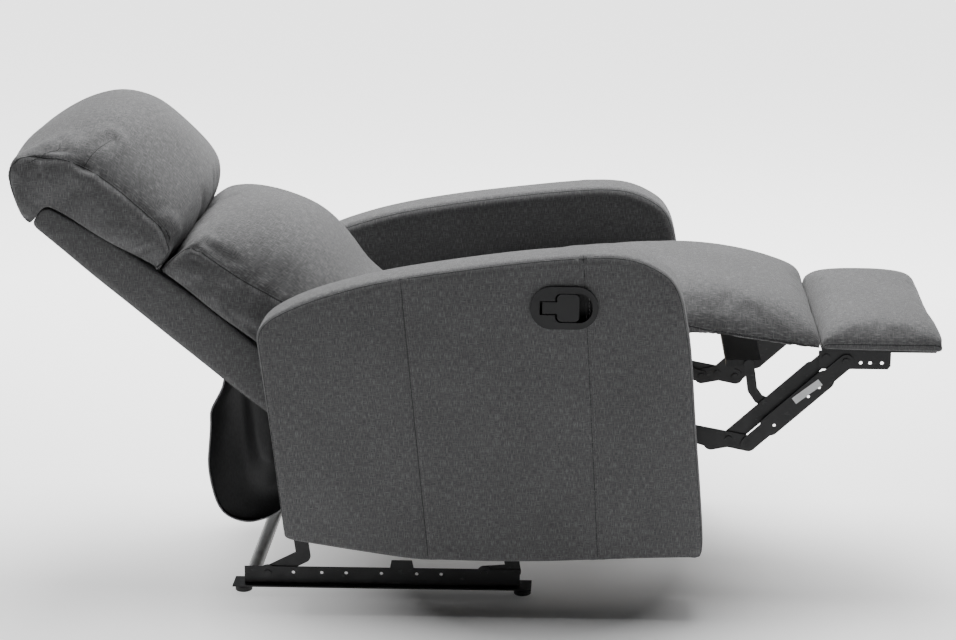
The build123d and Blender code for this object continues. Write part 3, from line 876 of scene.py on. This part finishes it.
def make_arm(sign, side_name, materials):
    name = f"arm_cover_{side_name}"
    centre = sign * (ARM_OUTER - ARM_HALF)
    swell = (0.0015, 0.006) if sign < 0 else (0.006, 0.0015)
    crest = [(s[0] + CREST_SHARE * (m[0] - s[0]), s[1] + CREST_SHARE * (m[1] - s[1]))
             for s, m in zip(ARM_SIDE, ARM_MIDDLE)]
    mesh, edge = stuffed_mesh(
        name, ARM_BOTTOM, ARM_SIDE, crest, centre, ARM_HALF, 2.0, 0.62, swell, cell=0.011, crowding=1.0
    )
    piece = link(name, mesh)
    subdivide(piece)
    soften(piece, 0.0016, 6.0, 6.0 + sign)
    threads = Threads()
    for face in (-1, 1):
        x = centre + face * ARM_HALF
        line = edge_line(edge, x)
        groove(piece, line, 0.0016, 0.005, 0.0008)
        threads.seam(piece, line)
        threads.stitches(piece, edge_line(edge, x - face * STITCH_INSET, 0.02))
    outer = sign * ARM_OUTER * 1000
    for seam in OUTER_SEAMS:
        line = [spot(outer, *p) for p in seam]
        groove(piece, line, 0.0016, 0.0045, 0.0006)
        threads.seam(piece, line, 0.0006)
        beside = [spot(outer, p[0] + 6, p[1]) for p in seam]
        threads.stitches(piece, beside)
    if sign < 0:
        open_for_handle(piece)
    threads.pieces(name, materials, on_body("seat"))
    upholster(piece, materials["grey_fabric"], [f"arm_{side_name}"], on_body("seat"))


# ---------------------------------------------------------------- rear flap
FLAP_CHAIN = [
    (-436, 388), (-439, 372), (-450, 352), (-463, 330), (-463, 306), (-466, 272), (-470, 232), (-465, 190),
    (-455, 158), (-438, 137), (-404, 125), (-376, 131), (-345, 145), (-318, 176), (-290, 218), (-262, 252),
    (-242, 263),
]
FLAP_HALF = 0.217
FLAP_WAVE, FLAP_CRUMPLE, FLAP_SAG = 0.012, 0.004, 0.006
END_LINE = np.array([(-0.372, 0.420), (-0.330, 0.330), (-0.315, 0.240), (-0.290, 0.226)])
END_LENGTHS = np.array([0.0, 0.1, 0.19, 0.22])
END_INSET, END_DISH, END_FOLDS = 0.006, 0.022, 0.024


def make_gusset(sign, side_name, chain, materials):
    """Gathered end of the flap, tucked in behind its bound edge."""
    rows, columns = len(chain), 28
    inner = spread(END_LINE, END_LENGTHS, rows)
    grid = np.zeros((rows, columns, 3))
    for r in range(rows):
        for c in range(columns):
            t = c / (columns - 1)
            place = chain[r] * (1 - t) + inner[r] * t
            fold = noise.noise(Vector((place[0] * 22, place[1] * 5, 5.0 + sign)))
            tuck = END_INSET + END_DISH * math.sin(math.pi * min(1.0, 1.6 * t))
            tuck += END_FOLDS * fold * math.sin(math.pi * t)
            grid[r, c] = (sign * (FLAP_HALF - max(0.001, tuck)), -place[0] - FORWARD_SHIFT, place[1])
    patches = Patches()
    patches.add(grid, grid[..., 1:], CROWN)
    mesh = patches.mesh(f"rear_flap_end_{side_name}")
    mesh.materials.append(materials["black_cloth"])
    mesh.polygons.foreach_set("use_smooth", np.ones(len(mesh.polygons), bool))
    return link(mesh.name, mesh)


def make_flap(materials):
    """Slack lining between the foot of the back and the seat frame, with a bound edge."""
    chain = rounded(FLAP_CHAIN)
    lengths = arc_lengths(chain)
    rows, columns = 96, 64
    chain = spread(chain, lengths, rows)
    tangent = np.gradient(chain, axis=0)
    normal = np.stack([tangent[:, 1], -tangent[:, 0]], axis=1)
    normal /= np.linalg.norm(normal, axis=1)[:, None]
    xs = np.linspace(-FLAP_HALF, FLAP_HALF, columns)
    grid = np.zeros((rows, columns, 3))
    loose = np.sin(np.linspace(0, math.pi, rows)) ** 1.5
    for c, x in enumerate(xs):
        for r in range(rows):
            wave = noise.noise(Vector((x * 9, r * 0.016, 3.0))) * FLAP_WAVE
            wave += noise.noise(Vector((x * 26 + r * 0.02, r * 0.05, 7.0))) * FLAP_CRUMPLE
            wave -= FLAP_SAG * (1 - (x / FLAP_HALF) ** 2)
            place = chain[r] + normal[r] * wave * loose[r]
            grid[r, c] = (x, -place[0] - FORWARD_SHIFT, place[1])
    patches = Patches()
    cloth = np.stack(np.meshgrid(xs, np.linspace(0, lengths[-1], rows)), axis=-1)
    patches.add(grid, cloth, CROWN)
    piece = link("rear_flap_cloth", patches.mesh("rear_flap_cloth"))
    thickness = piece.modifiers.new("thickness", "SOLIDIFY")
    thickness.thickness = 0.0012
    evaluated = piece.evaluated_get(bpy.context.evaluated_depsgraph_get())
    final = bpy.data.meshes.new_from_object(evaluated)
    piece.modifiers.clear()
    piece.data = final
    final.materials.append(materials["black_cloth"])
    final.polygons.foreach_set("use_smooth", np.ones(len(final.polygons), bool))
    hems = []
    for c, sign, side_name in ((0, -1, "right"), (columns - 1, 1, "left")):
        threads = Threads()
        line = [Vector(p) for p in grid[:, c]]
        facing = [Vector((sign, 0, 0))] * len(line)
        threads.rod("thread", line, facing, 0.0017, 6)
        threads.pieces(f"rear_flap_hem_{side_name}", materials, hems.append)
    for sign, side_name in SIDES:
        hems.append(make_gusset(sign, side_name, chain, materials))
    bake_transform(piece)
    for hem in hems:
        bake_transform(hem)
    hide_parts("rear_flap")


# ---------------------------------------------------------------- small pieces
KNEE_LOWER, FOOT_LOWER = (470.0, 283.0), (633.0, 431.0)
LINK_FACE_X = 222.9
LABEL_LENGTH, LABEL_WIDTH, LABEL_TURN = 56, 12.5, 38.0
LABEL_SHARE, LABEL_OFFSET = 0.62, 4.6


def make_label(materials):
    """Blank pale label on the outside of the right lower footrest link."""
    along = Vector((FOOT_LOWER[0] - KNEE_LOWER[0], FOOT_LOWER[1] - KNEE_LOWER[1]))
    middle = Vector(KNEE_LOWER) + along * LABEL_SHARE
    across = Vector((-along.y, along.x)).normalized()
    middle += across * LABEL_OFFSET
    turn = math.radians(LABEL_TURN)
    ahead, up = Vector((math.cos(turn), math.sin(turn))), Vector((-math.sin(turn), math.cos(turn)))
    rows, columns = 4, 16
    points = []
    for r in range(rows):
        for c in range(columns):
            place = middle + ahead * LABEL_LENGTH * (c / (columns - 1) - 0.5)
            place += up * LABEL_WIDTH * (r / (rows - 1) - 0.5)
            lift = 0.25 + 0.5 * (c / (columns - 1)) ** 6
            points.append(spot(-LINK_FACE_X - lift, place.x, place.y))
    faces = [
        (r * columns + c, r * columns + c + 1, (r + 1) * columns + c + 1, (r + 1) * columns + c)
        for r in range(rows - 1) for c in range(columns - 1)
    ]
    mesh = bpy.data.meshes.new("link_label")
    mesh.from_pydata([tuple(p) for p in points], [], faces)
    mesh.materials.append(materials["blank_label"])
    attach(link("link_label", mesh), "lower_ottoman_links")


def main():
    make_camera()
    make_stage()
    materials = make_materials()
    finish_nodes(materials)
    make_head(materials)
    make_lumbar(materials)
    make_seat(materials)
    make_footrest(materials)
    make_back(materials)
    for sign, side_name in SIDES:
        make_arm(sign, side_name, materials)
    make_flap(materials)
    make_label(materials)


main()
